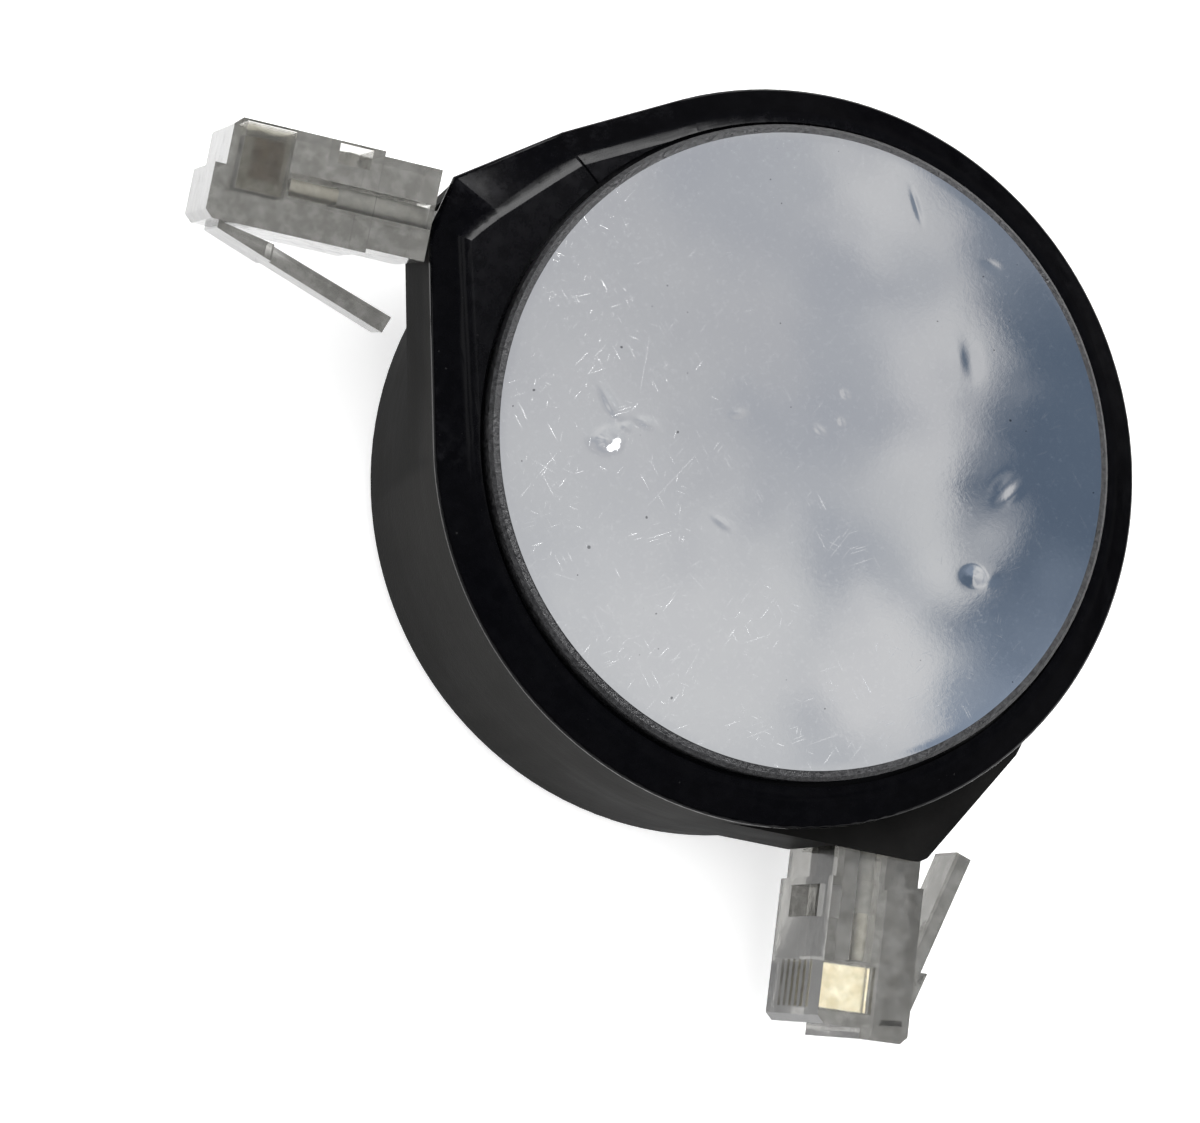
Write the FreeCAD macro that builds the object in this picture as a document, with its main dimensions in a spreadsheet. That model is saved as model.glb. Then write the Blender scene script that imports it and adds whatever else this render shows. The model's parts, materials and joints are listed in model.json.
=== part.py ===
"""Retractable telephone cord: a round two-cord reel with a modular plug at each end.

Millimetres. The reel stands on its base, +Z up, with the origin at the centre of the base.
-Y is the front, halfway between the two cord mouths: mouth A is at the left, mouth B at the right.
"""
import FreeCAD
import Part
import Sketcher
import math
import os

SIZES = [
    # the case
    ("wall_radius", 24.6), ("wall", 1.5), ("floor", 1.7), ("base_round", 1.7),
    ("groove_inset", 5.8), ("groove_width", 1.1), ("groove_depth", 0.4),
    # the cover: its rim stands a little proud of the wall
    ("cover_rim", 1.7), ("cover_overhang", 0.2), ("shoulder_width", 2.2), ("shoulder_drop", 1.3),
    ("ridge_round", 2.0), ("shoulder_round", 0.4), ("rim_width", 2.65), ("seam_width", 0.2),
    ("seam_depth", 0.15), ("cover_web", 0.95), ("lip_depth", 1.1), ("lip_width", 0.85),
    ("lip_clearance", 0.1),
    # the plate in the cover, and the foil label on it
    ("plate_gap", 0.35), ("plate_thick", 1.7), ("plate_bevel", 0.25), ("label_margin", 0.65),
    ("label_thick", 0.1),
    # the two ears: how far out from the wall and how far to the back each corner is
    ("ear_a_corner_out", 1.5), ("ear_a_corner_y", -10.8), ("ear_a_tip_out", 3.3), ("ear_a_tip_y", -7.4),
    ("ear_a_end_out", 1.4), ("ear_a_end_y", 0.3), ("ear_a_below", 3.75),
    ("ear_b_corner_out", 2.4), ("ear_b_corner_y", -9.3), ("ear_b_tip_out", 2.6), ("ear_b_tip_y", -8.7),
    ("ear_b_end_out", 1.4), ("ear_b_end_y", 1.0), ("ear_b_below", 3.5),
    ("ear_round", 0.5), ("dock_roof", 0.5),
    # the ridge of the cover's flat over ear A, inside the sloping shoulder
    ("ridge_corner_out", 0.15), ("ridge_corner_y", -10.0), ("ridge_tip_out", -0.1), ("ridge_tip_y", -7.0),
    ("ridge_end_out", -0.4), ("ridge_end_y", -0.3),
    # the post that the spool turns on, and the screw in its top
    ("post_radius", 2.8), ("post_clearance", 0.05), ("collar_width", 1.9), ("collar_height", 0.5),
    ("screw_radius", 1.1), ("screw_clearance", 0.05), ("screw_length", 8.5), ("screw_room", 1.0),
    ("head_radius", 2.2), ("head_height", 1.0), ("head_clearance", 0.3), ("head_slot", 0.55),
    ("head_sunk", 0.1),
    # the spool, from the lip's inner side inwards
    ("flange_clearance", 0.55), ("hub_radius", 7.0), ("lower_flange", 0.95), ("middle_flange", 1.0),
    ("upper_flange", 0.85), ("end_play", 0.4), ("barrel_step", 2.8), ("barrel_wall", 1.3),
    ("barrel_depth", 4.35), ("crossing_length", 3.0), ("crossing_width", 2.0),
    # the spring barrel's lid and the lock's ball
    ("lid_thick", 0.95), ("lid_clearance", 0.6), ("track_radius", 13.2), ("track_depth", 0.55),
    ("ball_radius", 0.95), ("ball_clearance", 0.1), ("ball_travel", 1.1),
    # the spiral spring
    ("strip_thick", 0.3), ("strip_pitch", 1.6), ("strip_gap", 0.3), ("strip_start", 0.7),
    # the cord and its windings
    ("cord_width", 3.75), ("cord_thick", 1.2), ("cord_round", 0.5), ("cord_clearance", 0.4),
    ("cord_in_plug", 6.0), ("channel_clearance", 0.3), ("winding_margin", 1.4), ("winding_clearance", 0.4),
    # the plugs: where each one stands, along and across its own axis
    ("plug_a_angle", 221.6), ("plug_a_gap", 2.4), ("plug_a_offset", -10.9), ("plug_a_roll", -11.5),
    ("plug_b_angle", 312.9), ("plug_b_gap", -1.6), ("plug_b_offset", 11.0), ("plug_b_roll", 0.0),
    ("dock_clearance", 0.25),
    ("plug_length", 14.4), ("plug_width", 9.65), ("plug_depth", 6.6), ("plug_chamfer", 0.5),
    ("tail_length", 3.9), ("tail_step", 0.3), ("nose_step", 0.7), ("nose_split", 0.2),
    ("entry_clearance", 0.2), ("entry_wall", 0.3),
    ("blade_pitch", 1.02), ("blade_thick", 0.3), ("blade_length", 3.0), ("blade_height", 3.5),
    ("blade_from_nose", 1.8), ("blade_sunk", 0.8), ("slot_clearance", 0.1), ("wire_radius", 0.42),
    ("window_from_rear", 4.4), ("window_length", 2.2), ("window_width", 5.2), ("window_depth", 1.3),
    # the latch arm, along and away from the plug's face
    ("latch_root", 1.2), ("latch_hinge", 0.4), ("latch_thick", 1.1), ("latch_knee", 5.0),
    ("latch_knee_lift", 0.65), ("latch_reach", 13.6), ("latch_tip_lift", 3.5),
    ("latch_lock_width", 6.0), ("latch_arm_width", 3.6),
]
BLADES = (-1.5, -0.5, 0.5, 1.5)
SLOTS = (-2.5, -1.5, -0.5, 0.5, 1.5, 2.5)

doc = FreeCAD.newDocument("retractable_cord")
sheet = doc.addObject("Spreadsheet::Sheet", "Sizes")
for row, (alias, value) in enumerate(SIZES, start=1):
    sheet.set("A%d" % row, alias)
    sheet.set("B%d" % row, str(value))
    sheet.setAlias("B%d" % row, alias)
doc.recompute()
ALIASES = sorted((alias for alias, value in SIZES), key=len, reverse=True)
pieces = []


def bound(text):
    """An expression over the sheet, from plain size names."""
    words = []
    word = ""
    for letter in text + " ":
        if letter.isalnum() or letter in "_.":
            word += letter
        else:
            words.append("Sizes." + word if word in ALIASES else word)
            words.append(letter)
            word = ""
    return "".join(words).strip()


def size(text):
    """The present value of such an expression."""
    return float(sheet.evalExpression(bound(text)))


def new_body(label):
    body = doc.addObject("PartDesign::Body", label)
    body.Label = label
    pieces.append(body)
    return body


def new_sketch(body, role, offset="0"):
    """A sketch on one of the body's own origin planes, moved along its normal."""
    sketch = body.newObject("Sketcher::SketchObject", "Sketch")
    plane = next(item for item in body.Origin.OriginFeatures if item.Role == role)
    sketch.AttachmentSupport = [(plane, "")]
    sketch.MapMode = "FlatFace"
    sketch.setExpression("AttachmentOffset.Base.z", bound(offset))
    return sketch


def hold(sketch, kind, geometry, end, text):
    """Set one coordinate of a sketch point from the sheet."""
    index = sketch.addConstraint(Sketcher.Constraint(kind, -1, 1, geometry, end, size(text)))
    sketch.setExpression("Constraints[%d]" % index, bound(text))


def line(sketch, start, end):
    points = [FreeCAD.Vector(size(x), size(y), 0) for x, y in (start, end)]
    return sketch.addGeometry(Part.LineSegment(*points))


def polygon(sketch, points):
    lines = [line(sketch, points[i], points[(i + 1) % len(points)]) for i in range(len(points))]
    for i, item in enumerate(lines):
        sketch.addConstraint(Sketcher.Constraint("Coincident", item, 2, lines[(i + 1) % len(lines)], 1))
        hold(sketch, "DistanceX", item, 1, points[i][0])
        hold(sketch, "DistanceY", item, 1, points[i][1])
    return sketch


def rectangle(sketch, left, bottom, right, top):
    return polygon(sketch, [(left, bottom), (right, bottom), (right, top), (left, top)])


def circle(sketch, radius):
    """A circle about the sketch's origin."""
    ring = Part.Circle(FreeCAD.Vector(0, 0, 0), FreeCAD.Vector(0, 0, 1), size(radius))
    index = sketch.addGeometry(ring)
    sketch.addConstraint(Sketcher.Constraint("Coincident", index, 3, -1, 1))
    held = sketch.addConstraint(Sketcher.Constraint("Radius", index, size(radius)))
    sketch.setExpression("Constraints[%d]" % held, bound(radius))
    return sketch


def grow(body, kind, sketch, length, reverse=False):
    """Pad or Pocket a sketch. A pocket that removes nothing is an error."""
    before = body.Shape.Volume if body.Tip else 0.0
    feature = body.newObject("PartDesign::" + kind, kind)
    feature.Profile = sketch
    feature.setExpression("Length", bound(length))
    feature.Reversed = reverse
    doc.recompute()
    change = body.Shape.Volume - before
    if (change > 0) != (kind == "Pad"):
        raise RuntimeError("%s: %s changes nothing" % (body.Label, feature.Name))
    return feature


def turn(body, profile):
    """A solid of revolution about Z from points (radius, height)."""
    sketch = polygon(new_sketch(body, "XZ_Plane"), profile)
    feature = body.newObject("PartDesign::Revolution", "Revolution")
    feature.Profile = sketch
    feature.ReferenceAxis = (sketch, ["V_Axis"])
    feature.Angle = 360
    doc.recompute()
    return feature


def round_edges(body, radius, chosen):
    """Fillet the edges that the test picks out."""
    base = body.Tip
    names = ["Edge%d" % (i + 1) for i, edge in enumerate(base.Shape.Edges) if chosen(edge)]
    feature = body.newObject("PartDesign::Fillet", "Fillet")
    feature.Base = (base, names)
    feature.setExpression("Radius", bound(radius))
    doc.recompute()
    return feature


def at_height(edge, height):
    box = edge.BoundBox
    return abs(box.ZMin - height) < 1e-4 and abs(box.ZMax - height) < 1e-4


def upright(edge):
    return abs(edge.BoundBox.ZLength - edge.Length) < 1e-6


def near_axis(edge):
    """How near an edge's middle comes to the reel's axis."""
    middle = edge.valueAt((edge.FirstParameter + edge.LastParameter) / 2)
    return math.hypot(middle.x, middle.y)


# heights up the reel
LID_BOTTOM = "(floor + collar_height + post_clearance)"
LID_TOP = "(%s + lid_thick)" % LID_BOTTOM
BARREL_TOP = "(%s + barrel_depth)" % LID_TOP
CHANNEL = "(cord_width + 2 * channel_clearance)"
LOWER_CHANNEL = "(%s + lower_flange)" % BARREL_TOP
UPPER_CHANNEL = "(%s + %s + middle_flange)" % (LOWER_CHANNEL, CHANNEL)
SPOOL_TOP = "(%s + %s + upper_flange)" % (UPPER_CHANNEL, CHANNEL)
COVER_SEAT = "(%s + end_play)" % SPOOL_TOP
COVER_TOP = "(%s + cover_rim)" % COVER_SEAT
PLATE_SEAT = "(%s + cover_web)" % COVER_SEAT
PLATE_TOP = "(%s + plate_thick)" % PLATE_SEAT
HEAD_TOP = "(%s - head_sunk)" % PLATE_TOP
HEAD_SEAT = "(%s - head_height)" % HEAD_TOP
CORD_HEIGHT = {"a": "(%s + %s / 2)" % (UPPER_CHANNEL, CHANNEL),
               "b": "(%s + %s / 2)" % (LOWER_CHANNEL, CHANNEL)}

# radii, and places along a plug
PLATE = "(wall_radius + cover_overhang - rim_width - plate_gap)"
LIP = "(wall_radius - wall - lip_clearance)"
FLANGE = "(%s - lip_width - flange_clearance)" % LIP
BARREL = "(%s - barrel_step)" % FLANGE
WINDING = "(%s - winding_margin)" % FLANGE
PLUG_REAR = {"a": "(wall_radius + plug_a_gap)", "b": "(wall_radius + plug_b_gap)"}
BLADE_BACK = "(plug_length - blade_from_nose - blade_length)"
ENTRY_DEPTH = "(%s - slot_clearance - entry_wall)" % BLADE_BACK


def ear_plan(sketch, radius, ear, out="0"):
    """The plan of a round case with one ear: an arc, two tangents and the ear's corners.

    ear_a and ridge are at the left and ear_b at the right. out moves the ear's corners outwards.
    """
    side = 1 if ear == "ear_b" else -1
    reach = "%d * (wall_radius + %s_%%s_out + %s)" % (side, ear, out)
    corner = (reach % "corner", "%s_corner_y - %s" % (ear, out))
    tip = (reach % "tip", ear + "_tip_y")
    end = (reach % "end", "%s_end_y + %s" % (ear, out))
    ring = size(radius)

    def tangent_angle(point, way):
        x, y = size(point[0]), size(point[1])
        return math.atan2(y, x) + way * math.acos(ring / math.hypot(x, y))

    front = tangent_angle(corner, -side)
    back = tangent_angle(end, side)
    first, last = (front, back) if side < 0 else (back, front)
    while last < first:
        last += 2 * math.pi
    arc = sketch.addGeometry(Part.ArcOfCircle(
        Part.Circle(FreeCAD.Vector(0, 0, 0), FreeCAD.Vector(0, 0, 1), ring), first, last))
    sketch.addConstraint(Sketcher.Constraint("Coincident", arc, 3, -1, 1))
    held = sketch.addConstraint(Sketcher.Constraint("Radius", arc, ring))
    sketch.setExpression("Constraints[%d]" % held, bound(radius))
    touch = [FreeCAD.Vector(ring * math.cos(angle), ring * math.sin(angle), 0) for angle in (front, back)]
    points = [FreeCAD.Vector(size(x), size(y), 0) for x, y in (corner, tip, end)]
    run = [sketch.addGeometry(Part.LineSegment(a, b)) for a, b in zip(
        touch[:1] + points, points + touch[1:])]
    for a, b in zip(run, run[1:]):
        sketch.addConstraint(Sketcher.Constraint("Coincident", a, 2, b, 1))
    for item, point in zip(run[1:], (corner, tip, end)):
        hold(sketch, "DistanceX", item, 1, point[0])
        hold(sketch, "DistanceY", item, 1, point[1])
    front_end, back_end = (1, 2) if side < 0 else (2, 1)
    sketch.addConstraint(Sketcher.Constraint("Tangent", run[0], 1, arc, front_end))
    sketch.addConstraint(Sketcher.Constraint("Tangent", run[-1], 2, arc, back_end))
    return sketch


def beside(plug, along, across):
    """A plan point given along and across a plug's axis, counted from the reel's axis."""
    angle = "plug_%s_angle * 1 deg" % plug
    across = "(plug_%s_offset + %s)" % (plug, across)
    return ("(%s) * cos(%s) - %s * sin(%s)" % (along, angle, across, angle),
            "(%s) * sin(%s) + %s * cos(%s)" % (along, angle, across, angle))


def block_plan(sketch, plug, start, end, half):
    """A rectangle that lies along a plug's axis."""
    corners = [(start, "-(%s)" % half), (end, "-(%s)" % half), (end, half), (start, half)]
    return polygon(sketch, [beside(plug, *corner) for corner in corners])


def place(body, plug):
    """Stand a plug's piece at its mouth: X along the plug, Y towards the latch.

    The plug is rolled about its own length first, and then turned about Z to its angle. The two
    turns are given as the one turn about one axis that they come to.
    """
    x, y = beside(plug, PLUG_REAR[plug], "0")
    turn_half, roll_half = "(plug_%s_angle * 0.5 deg)" % plug, "(plug_%s_roll * 0.5 deg)" % plug
    body.Placement = FreeCAD.Placement(FreeCAD.Vector(), FreeCAD.Rotation(
        FreeCAD.Vector(0, 0, 1), size("plug_%s_angle" % plug)))
    for name, text in (
            ("Base.x", x), ("Base.y", y), ("Base.z", CORD_HEIGHT[plug]),
            ("Rotation.Axis.x", "cos%s * sin%s" % (turn_half, roll_half)),
            ("Rotation.Axis.y", "sin%s * sin%s" % (turn_half, roll_half)),
            ("Rotation.Axis.z", "sin%s * cos%s" % (turn_half, roll_half)),
            ("Rotation.Angle", "2 * acos(cos%s * cos%s)" % (turn_half, roll_half))):
        body.setExpression("Placement." + name, bound(text))


def case_body():
    """The lower case: wall, floor, both ears, their cord mouths and the spool's post."""
    body = new_body("case_body")
    grow(body, "Pad", circle(new_sketch(body, "XY_Plane"), "wall_radius"), COVER_SEAT)
    under_a = "(%s - ear_a_below)" % CORD_HEIGHT["a"]
    grow(body, "Pad", ear_plan(new_sketch(body, "XY_Plane", under_a), "wall_radius", "ear_a"),
         "%s - %s" % (COVER_SEAT, under_a))
    under_b = "(%s - ear_b_below)" % CORD_HEIGHT["b"]
    grow(body, "Pad", ear_plan(new_sketch(body, "XY_Plane", under_b), "wall_radius", "ear_b"),
         "ear_b_below + plug_width / 2 + dock_clearance + dock_roof")
    round_edges(body, "base_round", lambda edge: at_height(edge, 0))
    round_edges(body, "ear_round", lambda edge: edge.Length > size("ear_round") and near_axis(edge) >
                size("wall_radius + ear_round") and upright(edge))
    room = circle(new_sketch(body, "XY_Plane", COVER_SEAT), "wall_radius - wall")
    grow(body, "Pocket", room, COVER_SEAT + " - floor")
    groove = circle(new_sketch(body, "XY_Plane"), "wall_radius - groove_inset")
    circle(groove, "wall_radius - groove_inset - groove_width")
    grow(body, "Pocket", groove, "groove_depth", reverse=True)
    grow(body, "Pad", circle(new_sketch(body, "XY_Plane", "floor"), "post_radius + collar_width"),
         "collar_height")
    grow(body, "Pad", circle(new_sketch(body, "XY_Plane", "floor"), "post_radius"), COVER_SEAT + " - floor")
    bore = circle(new_sketch(body, "XY_Plane", COVER_SEAT), "screw_radius + screw_clearance")
    grow(body, "Pocket", bore, "screw_length")
    tip = "wall_radius + ear_a_tip_out"
    for plug in "ab":
        mouth = new_sketch(body, "XY_Plane", CORD_HEIGHT[plug] + " + cord_width / 2 + cord_clearance")
        block_plan(mouth, plug, "hub_radius + wall", tip + " + wall", "cord_thick / 2 + cord_clearance")
        grow(body, "Pocket", mouth, "cord_width + 2 * cord_clearance")
    dock = new_sketch(body, "XY_Plane", CORD_HEIGHT["b"] + " + plug_width / 2 + dock_clearance")
    block_plan(dock, "b", PLUG_REAR["b"] + " - dock_clearance", tip + " + plug_length",
               "plug_depth / 2 + dock_clearance")
    grow(body, "Pocket", dock, "plug_width + 2 * dock_clearance")
    ball_slot = new_sketch(body, "XY_Plane", "floor")
    rectangle(ball_slot, "track_radius - ball_travel", "-ball_radius - ball_clearance",
              "track_radius + ball_travel", "ball_radius + ball_clearance")
    grow(body, "Pocket", ball_slot, "ball_radius - ball_clearance")
    tail = new_sketch(body, "XY_Plane", BARREL_TOP)
    rectangle(tail, "0", "-strip_thick", "post_radius", "strip_thick")
    grow(body, "Pocket", tail, "barrel_depth")
    return body


def top_cover():
    """The glossy cover: a sloping shoulder over the wall and ear A, and a sunk web for the plate."""
    body = new_body("top_cover")
    outside = "wall_radius + cover_overhang"
    foot = "(%s - shoulder_drop)" % COVER_TOP
    low = ear_plan(new_sketch(body, "XY_Plane", foot), outside, "ear_a", "cover_overhang")
    high = ear_plan(new_sketch(body, "XY_Plane", COVER_TOP), outside + " - shoulder_width", "ridge")
    shoulder = body.newObject("PartDesign::AdditiveLoft", "Loft")
    shoulder.Profile = low
    shoulder.Sections = [high]
    shoulder.Ruled = True
    doc.recompute()
    band = ear_plan(new_sketch(body, "XY_Plane", COVER_SEAT), outside, "ear_a", "cover_overhang")
    grow(body, "Pad", band, "cover_rim - shoulder_drop")
    round_edges(body, "ridge_round", lambda edge: at_height(edge, size(COVER_TOP)))
    round_edges(body, "shoulder_round", lambda edge: at_height(edge, size(foot)))
    grow(body, "Pocket", circle(new_sketch(body, "XY_Plane", COVER_TOP), PLATE + " + plate_gap"),
         "cover_rim - cover_web")
    seam = rectangle(new_sketch(body, "XY_Plane", COVER_TOP), "-wall_radius - ear_a_tip_out",
                     "ridge_end_y - seam_width / 2", "-" + PLATE, "ridge_end_y + seam_width / 2")
    grow(body, "Pocket", seam, "seam_depth")
    lip = circle(new_sketch(body, "XY_Plane", COVER_SEAT), LIP)
    circle(lip, LIP + " - lip_width")
    grow(body, "Pad", lip, "lip_depth", reverse=True)
    grow(body, "Pocket", circle(new_sketch(body, "XY_Plane", PLATE_SEAT), "screw_radius + head_clearance"),
         "cover_web")
    return body


def top_plate():
    """The round plate that stands up through the cover, with the screw's counterbore."""
    body = new_body("top_plate")
    turn(body, [("screw_radius + head_clearance", PLATE_SEAT), (PLATE, PLATE_SEAT),
                (PLATE, PLATE_TOP + " - plate_bevel"), (PLATE + " - plate_bevel", PLATE_TOP),
                ("head_radius + head_clearance", PLATE_TOP), ("head_radius + head_clearance", HEAD_SEAT),
                ("screw_radius + head_clearance", HEAD_SEAT)])


def top_label():
    """The foil disc stuck on the plate."""
    body = new_body("top_label")
    disc = circle(new_sketch(body, "XY_Plane", PLATE_TOP), PLATE + " - label_margin")
    grow(body, "Pad", disc, "label_thick")


def centre_screw():
    """The screw under the label, which holds the plate and cover to the post."""
    body = new_body("centre_screw")
    foot = COVER_SEAT + " - screw_length + screw_room"
    turn(body, [("0", foot), ("screw_radius", foot), ("screw_radius", HEAD_SEAT), ("head_radius", HEAD_SEAT),
                ("head_radius", HEAD_TOP), ("0", HEAD_TOP)])
    for across in (("-head_radius", "-head_slot / 2", "head_radius", "head_slot / 2"),
                   ("-head_slot / 2", "-head_radius", "head_slot / 2", "head_radius")):
        slot = rectangle(new_sketch(body, "XY_Plane", HEAD_TOP), *across)
        grow(body, "Pocket", slot, "head_slot")


def spool():
    """The two-channel spool, with the spring's barrel under its lower flange."""
    body = new_body("spool")
    bore = "post_radius + post_clearance"
    inner = BARREL + " - barrel_wall"
    profile = [(bore, BARREL_TOP), (inner, BARREL_TOP), (inner, LID_TOP), (BARREL, LID_TOP),
               (BARREL, BARREL_TOP), (FLANGE, BARREL_TOP)]
    for channel in (LOWER_CHANNEL, UPPER_CHANNEL):
        ceiling = "%s + %s" % (channel, CHANNEL)
        profile += [(FLANGE, channel), ("hub_radius", channel), ("hub_radius", ceiling), (FLANGE, ceiling)]
    turn(body, profile + [(FLANGE, SPOOL_TOP), (bore, SPOOL_TOP)])
    crossing = rectangle(new_sketch(body, "XY_Plane", UPPER_CHANNEL), "hub_radius", "-crossing_width / 2",
                         "hub_radius + crossing_length", "crossing_width / 2")
    grow(body, "Pocket", crossing, "middle_flange")


def spring_lid():
    """The disc that closes the spring's barrel. The lock's ball runs in the track under it."""
    body = new_body("spring_lid")
    bore = "post_radius + lid_clearance"
    inner = "track_radius - ball_radius - ball_clearance"
    outer = "track_radius + ball_radius + ball_clearance"
    track = LID_BOTTOM + " + track_depth"
    turn(body, [(bore, LID_BOTTOM), (inner, LID_BOTTOM), (inner, track), (outer, track),
                (outer, LID_BOTTOM), (BARREL, LID_BOTTOM), (BARREL, LID_TOP), (bore, LID_TOP)])


def lock_ball():
    """The steel ball that locks the cord, loose between the floor's groove and the lid's track."""
    ball = doc.addObject("Part::Sphere", "lock_ball")
    ball.Label = "lock_ball"
    ball.setExpression("Radius", bound("ball_radius"))
    ball.setExpression("Placement.Base.x", bound("track_radius"))
    ball.setExpression("Placement.Base.z", bound("floor + ball_clearance"))
    pieces.append(ball)


def spiral_spring():
    """The strip spring: half turns about two centres, each half a pitch wider than the last."""
    pitch, thick = size("strip_pitch"), size("strip_thick")
    first, last = size("post_radius + strip_start"), size(BARREL + " - barrel_wall - strip_gap") - thick
    halves = int((last - first) / (pitch / 2))
    start = last - halves * pitch / 2

    def half_turns(extra):
        arcs = []
        for k in range(halves):
            centre = pitch / 4 * (1 if k % 2 else -1)
            radius = start + k * pitch / 2 + pitch / 4 + extra
            way = -1 if k % 2 else 1
            ends = [FreeCAD.Vector(centre + side * way * radius, 0, 0) for side in (1, -1)]
            arcs.append(Part.Arc(ends[0], FreeCAD.Vector(centre, way * radius, 0), ends[1]).toShape())
        return arcs

    inner, outer = half_turns(0.0), half_turns(thick)
    caps = [Part.makeLine(inner[0].Vertexes[0].Point, outer[0].Vertexes[0].Point),
            Part.makeLine(inner[-1].Vertexes[-1].Point, outer[-1].Vertexes[-1].Point)]
    outline = Part.Wire(Part.__sortEdges__(inner + outer + caps))
    gap = size("strip_gap")
    spring = doc.addObject("Part::Feature", "spiral_spring")
    spring.Label = "spiral_spring"
    spring.Shape = Part.Face(outline).extrude(FreeCAD.Vector(0, 0, size("barrel_depth") - 2 * gap))
    spring.Placement = FreeCAD.Placement(FreeCAD.Vector(0, 0, size(LID_TOP) + gap), FreeCAD.Rotation())
    pieces.append(spring)


def winding(label, plug):
    """The turns of one cord on the spool, as one ring."""
    body = new_body(label)
    low = CORD_HEIGHT[plug] + " - cord_width / 2"
    high = CORD_HEIGHT[plug] + " + cord_width / 2"
    turn(body, [("hub_radius", low), (WINDING, low), (WINDING, high), ("hub_radius", high)])


def plug_body(plug):
    """The clear six-place plug: stepped nose, blade slots, cord entry and crimp window."""
    body = new_body("plug_%s_body" % plug)
    half = "plug_depth / 2"
    base = new_sketch(body, "XY_Plane", "-plug_width / 2")
    polygon(base, [("tail_length", "-" + half), ("plug_length - nose_step - plug_chamfer", "-" + half),
                   ("plug_length - nose_step", "-%s + plug_chamfer" % half),
                   ("plug_length - nose_step", "-nose_split"), ("plug_length", "-nose_split"),
                   ("plug_length", half + " - plug_chamfer"), ("plug_length - plug_chamfer", half),
                   ("tail_length", half)])
    grow(body, "Pad", base, "plug_width")
    tail = new_sketch(body, "XY_Plane", "-plug_width / 2 + tail_step")
    rectangle(tail, "0", "-%s + tail_step" % half, "tail_length", half + " - tail_step")
    grow(body, "Pad", tail, "plug_width - 2 * tail_step")
    high, wide = "(cord_thick / 2 + entry_clearance)", "(cord_width / 2 + entry_clearance)"
    entry = rectangle(new_sketch(body, "YZ_Plane"), "-" + high, "-" + wide, high, wide)
    grow(body, "Pocket", entry, ENTRY_DEPTH, reverse=True)
    window = new_sketch(body, "XY_Plane", "window_width / 2")
    rectangle(window, "window_from_rear", "-" + half, "window_from_rear + window_length",
              "-%s + window_depth" % half)
    grow(body, "Pocket", window, "window_width")
    for place_across in SLOTS:
        upper = "%g * blade_pitch + blade_thick / 2 + slot_clearance" % place_across
        slot = rectangle(new_sketch(body, "XY_Plane", upper), BLADE_BACK + " - slot_clearance", "-" + half,
                         "plug_length - blade_from_nose + slot_clearance",
                         "-%s + blade_sunk + blade_height" % half)
        grow(body, "Pocket", slot, "blade_thick + 2 * slot_clearance")
    place(body, plug)


def plug_contacts(plug):
    """The gold blades in the middle four slots."""
    body = new_body("plug_%s_contacts" % plug)
    body.AllowCompound = True
    low = "-plug_depth / 2 + blade_sunk"
    for place_across in BLADES:
        blade = new_sketch(body, "XY_Plane", "%g * blade_pitch - blade_thick / 2" % place_across)
        rectangle(blade, BLADE_BACK, low, "plug_length - blade_from_nose", low + " + blade_height")
        grow(body, "Pad", blade, "blade_thick")
    place(body, plug)


def plug_wires(plug):
    """The four conductors between the cord's end and the blades."""
    body = new_body("plug_%s_wires" % plug)
    body.AllowCompound = True
    for place_across in BLADES:
        wire = new_sketch(body, "YZ_Plane", "cord_in_plug")
        ring = Part.Circle(FreeCAD.Vector(0, size("%g * blade_pitch" % place_across), 0),
                           FreeCAD.Vector(0, 0, 1), size("wire_radius"))
        index = wire.addGeometry(ring)
        hold(wire, "DistanceX", index, 3, "0")
        hold(wire, "DistanceY", index, 3, "%g * blade_pitch" % place_across)
        held = wire.addConstraint(Sketcher.Constraint("Radius", index, size("wire_radius")))
        wire.setExpression("Constraints[%d]" % held, bound("wire_radius"))
        grow(body, "Pad", wire, ENTRY_DEPTH + " - cord_in_plug")
    place(body, plug)


def plug_latch(plug):
    """The latch arm: a wide locking part by the nose and a narrow lever that stands off the body."""
    body = new_body("plug_%s_latch" % plug)
    face = "plug_depth / 2"
    knee = ("plug_length - latch_knee", face + " + latch_knee_lift")
    knee_top = (knee[0], knee[1] + " + latch_thick")
    root = "plug_length - latch_root"
    lock = new_sketch(body, "XY_Plane", "-latch_lock_width / 2")
    polygon(lock, [knee, ("%s - latch_hinge" % root, face), (root, face),
                   (root, face + " + latch_hinge"), knee_top])
    grow(body, "Pad", lock, "latch_lock_width")
    arm = new_sketch(body, "XY_Plane", "-latch_arm_width / 2")
    tip = ("plug_length - latch_reach", face + " + latch_tip_lift")
    polygon(arm, [tip, knee, knee_top, (tip[0] + " + latch_hinge", tip[1] + " + latch_thick")])
    grow(body, "Pad", arm, "latch_arm_width")
    place(body, plug)


def plug_cord(plug):
    """The flat cord from the winding's edge through the mouth into the plug."""
    body = new_body("plug_%s_cord" % plug)
    nearest = "(abs(plug_%s_offset) - cord_thick / 2)" % plug
    start = "sqrt((%s + winding_clearance)^2 - %s^2) - %s" % (WINDING, nearest, PLUG_REAR[plug])
    section = rectangle(new_sketch(body, "YZ_Plane", start), "-cord_thick / 2", "-cord_width / 2",
                        "cord_thick / 2", "cord_width / 2")
    grow(body, "Pad", section, "cord_in_plug - (%s)" % start)
    round_edges(body, "cord_round", lambda edge: abs(edge.BoundBox.XLength - edge.Length) < 1e-6)
    place(body, plug)


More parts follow.
